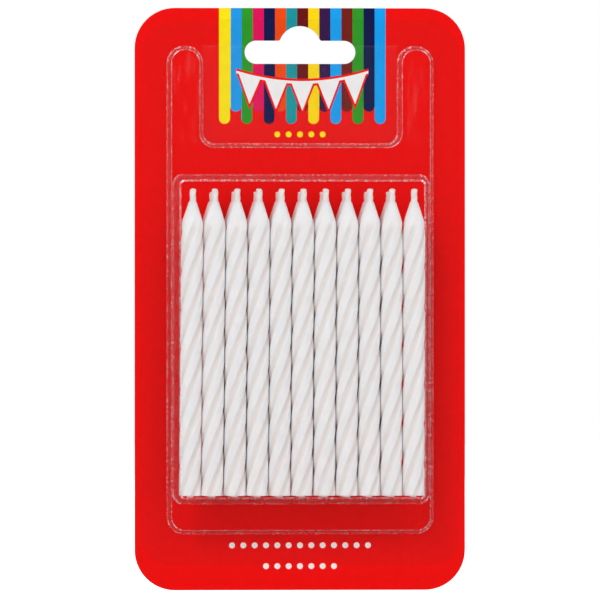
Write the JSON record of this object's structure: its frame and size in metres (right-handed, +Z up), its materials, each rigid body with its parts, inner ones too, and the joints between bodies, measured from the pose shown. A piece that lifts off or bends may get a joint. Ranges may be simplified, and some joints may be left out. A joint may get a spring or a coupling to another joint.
{
  "type": "carded pack of spiral birthday candles",
  "caption": "Hang card with a clear formed blister holding two rows of slim white spiral-fluted birthday candles, each a pointed wax body on a cotton wick.",
  "frame": {"origin": "crown of the hang slot's arch, on the card's printed front face", "axes": "+Z up along the candles and the card, +Y out of the card's back, the blister faces -Y"},
  "size_m": [0.07, 0.0104, 0.1231],
  "materials": {
    "printed_board": "gloss print",
    "clear_sheet": "clear gloss",
    "candle_wax": "satin wax",
    "cotton_wick": "waxed cotton"
  },
  "bodies": {
    "card": {"backing_card": "printed_board"},
    "blister": {"blister_shell": "clear_sheet"},
    "front_candle_01": {"front_candle_01_wax": "candle_wax", "front_candle_01_wick": "cotton_wick"},
    "front_candle_02": {"front_candle_02_wax": "candle_wax", "front_candle_02_wick": "cotton_wick"},
    "front_candle_03": {"front_candle_03_wax": "candle_wax", "front_candle_03_wick": "cotton_wick"},
    "front_candle_04": {"front_candle_04_wax": "candle_wax", "front_candle_04_wick": "cotton_wick"},
    "front_candle_05": {"front_candle_05_wax": "candle_wax", "front_candle_05_wick": "cotton_wick"},
    "front_candle_06": {"front_candle_06_wax": "candle_wax", "front_candle_06_wick": "cotton_wick"},
    "front_candle_07": {"front_candle_07_wax": "candle_wax", "front_candle_07_wick": "cotton_wick"},
    "front_candle_08": {"front_candle_08_wax": "candle_wax", "front_candle_08_wick": "cotton_wick"},
    "front_candle_09": {"front_candle_09_wax": "candle_wax", "front_candle_09_wick": "cotton_wick"},
    "front_candle_10": {"front_candle_10_wax": "candle_wax", "front_candle_10_wick": "cotton_wick"},
    "front_candle_11": {"front_candle_11_wax": "candle_wax", "front_candle_11_wick": "cotton_wick"},
    "rear_candle_01": {"rear_candle_01_wax": "candle_wax", "rear_candle_01_wick": "cotton_wick"},
    "rear_candle_02": {"rear_candle_02_wax": "candle_wax", "rear_candle_02_wick": "cotton_wick"},
    "rear_candle_03": {"rear_candle_03_wax": "candle_wax", "rear_candle_03_wick": "cotton_wick"},
    "rear_candle_04": {"rear_candle_04_wax": "candle_wax", "rear_candle_04_wick": "cotton_wick"},
    "rear_candle_05": {"rear_candle_05_wax": "candle_wax", "rear_candle_05_wick": "cotton_wick"},
    "rear_candle_06": {"rear_candle_06_wax": "candle_wax", "rear_candle_06_wick": "cotton_wick"},
    "rear_candle_07": {"rear_candle_07_wax": "candle_wax", "rear_candle_07_wick": "cotton_wick"},
    "rear_candle_08": {"rear_candle_08_wax": "candle_wax", "rear_candle_08_wick": "cotton_wick"},
    "rear_candle_09": {"rear_candle_09_wax": "candle_wax", "rear_candle_09_wick": "cotton_wick"}
  },
  "joints": [
    {"name": "blister_lift_off", "type": "slide", "parent": "card", "child": "blister", "axis": [0, -1, 0], "range_m": [0, 0.03]},
    {"name": "front_candle_01_shift", "type": "slide", "parent": "blister", "child": "front_candle_01", "axis": [0, 0, 1], "range_m": [0, 0.0012]},
    {"name": "front_candle_02_shift", "type": "slide", "parent": "blister", "child": "front_candle_02", "axis": [0, 0, 1], "range_m": [0, 0.0012]},
    {"name": "front_candle_03_shift", "type": "slide", "parent": "blister", "child": "front_candle_03", "axis": [0, 0, 1], "range_m": [0, 0.0012]},
    {"name": "front_candle_04_shift", "type": "slide", "parent": "blister", "child": "front_candle_04", "axis": [0, 0, 1], "range_m": [0, 0.0012]},
    {"name": "front_candle_05_shift", "type": "slide", "parent": "blister", "child": "front_candle_05", "axis": [0, 0, 1], "range_m": [0, 0.0012]},
    {"name": "front_candle_06_shift", "type": "slide", "parent": "blister", "child": "front_candle_06", "axis": [0, 0, 1], "range_m": [0, 0.0012]},
    {"name": "front_candle_07_shift", "type": "slide", "parent": "blister", "child": "front_candle_07", "axis": [0, 0, 1], "range_m": [0, 0.0012]},
    {"name": "front_candle_08_shift", "type": "slide", "parent": "blister", "child": "front_candle_08", "axis": [0, 0, 1], "range_m": [0, 0.0012]},
    {"name": "front_candle_09_shift", "type": "slide", "parent": "blister", "child": "front_candle_09", "axis": [0, 0, 1], "range_m": [0, 0.0012]},
    {"name": "front_candle_10_shift", "type": "slide", "parent": "blister", "child": "front_candle_10", "axis": [0, 0, 1], "range_m": [0, 0.0012]},
    {"name": "front_candle_11_shift", "type": "slide", "parent": "blister", "child": "front_candle_11", "axis": [0, 0, 1], "range_m": [0, 0.0012]},
    {"name": "rear_candle_01_shift", "type": "slide", "parent": "blister", "child": "rear_candle_01", "axis": [0, 0, 1], "range_m": [0, 0.0045]},
    {"name": "rear_candle_02_shift", "type": "slide", "parent": "blister", "child": "rear_candle_02", "axis": [0, 0, 1], "range_m": [0, 0.0045]},
    {"name": "rear_candle_03_shift", "type": "slide", "parent": "blister", "child": "rear_candle_03", "axis": [0, 0, 1], "range_m": [0, 0.0045]},
    {"name": "rear_candle_04_shift", "type": "slide", "parent": "blister", "child": "rear_candle_04", "axis": [0, 0, 1], "range_m": [0, 0.0045]},
    {"name": "rear_candle_05_shift", "type": "slide", "parent": "blister", "child": "rear_candle_05", "axis": [0, 0, 1], "range_m": [0, 0.0045]},
    {"name": "rear_candle_06_shift", "type": "slide", "parent": "blister", "child": "rear_candle_06", "axis": [0, 0, 1], "range_m": [0, 0.0045]},
    {"name": "rear_candle_07_shift", "type": "slide", "parent": "blister", "child": "rear_candle_07", "axis": [0, 0, 1], "range_m": [0, 0.0045]},
    {"name": "rear_candle_08_shift", "type": "slide", "parent": "blister", "child": "rear_candle_08", "axis": [0, 0, 1], "range_m": [0, 0.0045]},
    {"name": "rear_candle_09_shift", "type": "slide", "parent": "blister", "child": "rear_candle_09", "axis": [0, 0, 1], "range_m": [0, 0.0045]}
  ]
}
